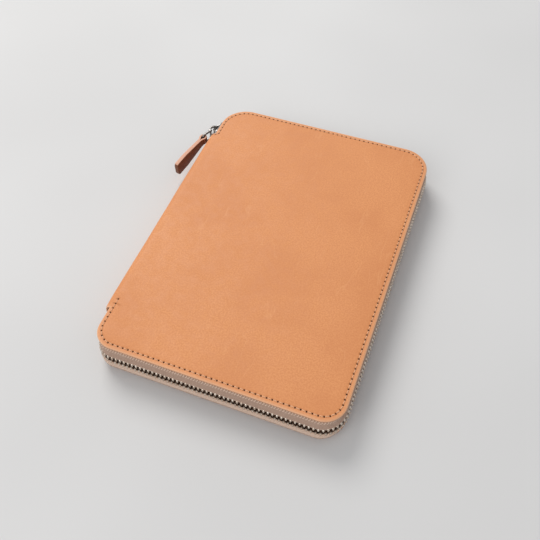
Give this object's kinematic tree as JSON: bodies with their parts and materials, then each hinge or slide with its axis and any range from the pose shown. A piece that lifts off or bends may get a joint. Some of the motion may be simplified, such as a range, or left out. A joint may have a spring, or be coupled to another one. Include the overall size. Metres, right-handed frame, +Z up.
{
  "type": "fountain pen case",
  "caption": "Flat zip-around leather case that folds open at the spine, with pen sleeves, a divider flap, a slip pocket and a leather-tabbed zip slider.",
  "frame": {"origin": "middle of the back cover's outer face, on the surface the case rests on", "axes": "+X from the spine to the opening side, +Y along the spine towards the zip slider's end, +Z up through the closed case"},
  "size_m": [0.1669, 0.2094, 0.022],
  "materials": {
    "cover_leather": "natural vegetable-tanned, matte with a soft sheen",
    "inner_leather": "natural vegetable-tanned, matte",
    "lining": "thin lining leather, suede side in",
    "stiffener": "thin stiffener board, hidden",
    "zip_tape": "herringbone woven taupe tape",
    "zip_teeth": "bright nickel with a warm tint",
    "slider_metal": "polished nickel",
    "tab_leather": "folded natural leather with raw cut edges"
  },
  "bodies": {
    "back_cover": {"back_leather": "cover_leather", "back_board": "stiffener", "back_lining": "lining", "lower_tape": "zip_tape", "lower_teeth": "zip_teeth", "lower_tape_head": "zip_tape", "lower_tape_tail": "zip_tape", "lower_teeth_head": "zip_teeth", "lower_teeth_tail": "zip_teeth", "pen_sleeve_1": "inner_leather", "pen_sleeve_2": "inner_leather", "pen_sleeve_3": "inner_leather", "pen_sleeve_4": "inner_leather", "pen_sleeve_5": "inner_leather"},
    "spine": {"spine_leather": "cover_leather", "spine_lining": "lining", "zip_end_top": "zip_tape", "zip_end_bottom": "zip_tape", "top_stop_upper": "zip_teeth", "top_stop_lower": "zip_teeth", "bottom_stop": "zip_teeth"},
    "front_cover": {"front_leather": "cover_leather", "front_board": "stiffener", "front_lining": "lining", "front_pocket": "inner_leather", "upper_tape": "zip_tape", "upper_teeth": "zip_teeth", "upper_tape_head": "zip_tape", "upper_tape_tail": "zip_tape", "upper_teeth_head": "zip_teeth", "upper_teeth_tail": "zip_teeth"},
    "divider": {"divider_flap": "lining"},
    "slider": {"slider_body": "slider_metal"},
    "link": {"pull_link": "slider_metal"},
    "tab": {"pull_tab": "tab_leather"}
  },
  "joints": [
    {"name": "spine_fold", "type": "hinge", "parent": "back_cover", "child": "spine", "pos_m": [-0.075, 0, 0], "axis": [0, -1, 0], "range_deg": [0, 90], "deforming": ["lower_tape_head", "lower_tape_tail", "lower_teeth_head", "lower_teeth_tail"]},
    {"name": "front_fold", "type": "hinge", "parent": "spine", "child": "front_cover", "pos_m": [-0.075, 0, 0.022], "axis": [0, -1, 0], "range_deg": [0, 90], "deforming": ["upper_tape_head", "upper_tape_tail", "upper_teeth_head", "upper_teeth_tail"]},
    {"name": "flap_hinge", "type": "hinge", "parent": "spine", "child": "divider", "pos_m": [-0.0711, 0, 0.0163], "axis": [0, -1, 0], "range_deg": [-45, 0]},
    {"name": "slider_travel", "type": "hinge", "parent": "spine", "child": "slider", "pos_m": [-0.054, 0.0845, 0.011], "axis": [0, 0, 1], "range_deg": [-90, 0]},
    {"name": "link_pivot", "type": "hinge", "parent": "slider", "child": "link", "pos_m": [-0.07765, 0.087, 0.011], "axis": [0, 0, -1], "range_deg": [-8, 110]},
    {"name": "tab_pivot", "type": "hinge", "parent": "link", "child": "tab", "pos_m": [-0.08293, 0.07512, 0.011], "axis": [0, 0, -1], "range_deg": [-4, 45]}
  ],
  "couplings": [
    {"joint": "front_fold", "follows": "spine_fold", "ratio": 1},
    {"joint": "flap_hinge", "follows": "spine_fold", "ratio": -0.5}
  ]
}
